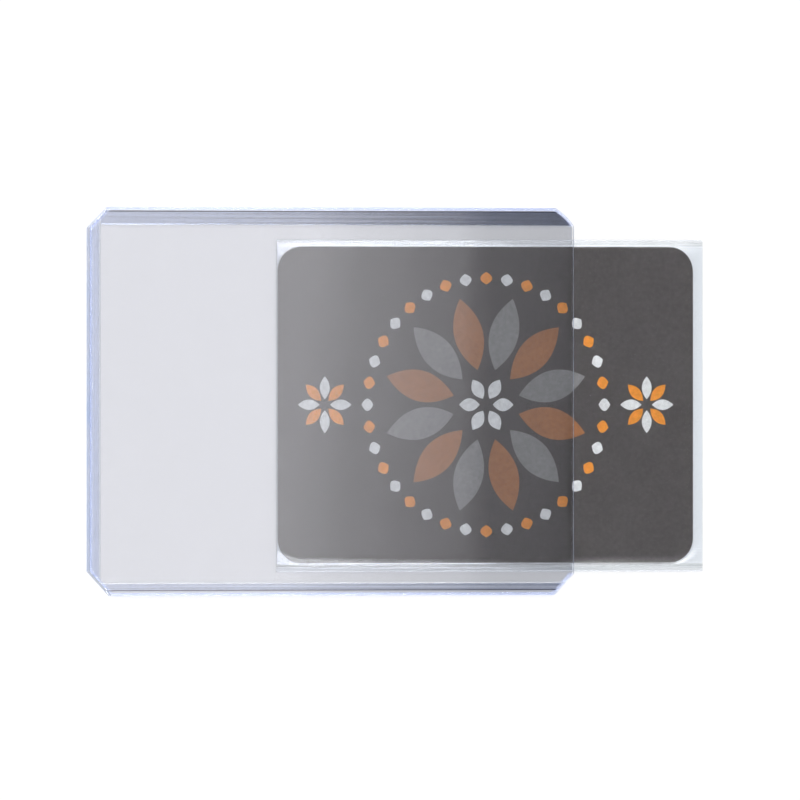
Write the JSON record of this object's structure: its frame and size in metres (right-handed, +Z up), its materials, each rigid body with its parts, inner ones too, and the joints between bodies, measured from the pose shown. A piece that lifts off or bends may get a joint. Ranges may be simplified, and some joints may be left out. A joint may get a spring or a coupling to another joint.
{
  "type": "card toploader",
  "caption": "Rigid clear card holder, open at one end, with a card in a soft film sleeve drawn part way out of its pocket.",
  "frame": {"origin": "on the underside of the back sheet, under the middle of the rigid holder", "axes": "+Z up, out of the printed face; +X along the holder towards its open end, the way the sleeve is drawn out; +Y across the holder, towards the wider side strip"},
  "size_m": [0.1312, 0.0778, 0.002],
  "materials": {
    "rigid_sheet": "gloss",
    "rigid_strip": "gloss",
    "soft_film": "gloss",
    "film_weld": "gloss",
    "printed_face": "satin",
    "card_core": "matte",
    "printed_back": "satin"
  },
  "bodies": {
    "holder": {"back_sheet": "rigid_sheet", "front_sheet": "rigid_sheet", "closed_end_strip": "rigid_strip", "upper_side_strip": "rigid_strip", "lower_side_strip": "rigid_strip"},
    "sleeve": {"sleeve_front_film": "soft_film", "sleeve_front_lower_margin": "soft_film", "sleeve_front_upper_margin": "soft_film", "sleeve_back_film": "soft_film", "sleeve_back_lower_margin": "soft_film", "sleeve_back_upper_margin": "soft_film", "sleeve_end_fold": "soft_film", "sleeve_lower_weld": "film_weld", "sleeve_upper_weld": "film_weld"},
    "card": {"card_face_ply": "printed_face", "card_core": "card_core", "card_back_ply": "printed_back"}
  },
  "joints": [
    {"name": "sleeve_slide", "type": "slide", "parent": "holder", "child": "sleeve", "axis": [1, 0, 0], "range_m": [-0.037, 0.065]},
    {"name": "card_slide", "type": "slide", "parent": "sleeve", "child": "card", "axis": [1, 0, 0], "range_m": [0, 0.0925]}
  ]
}
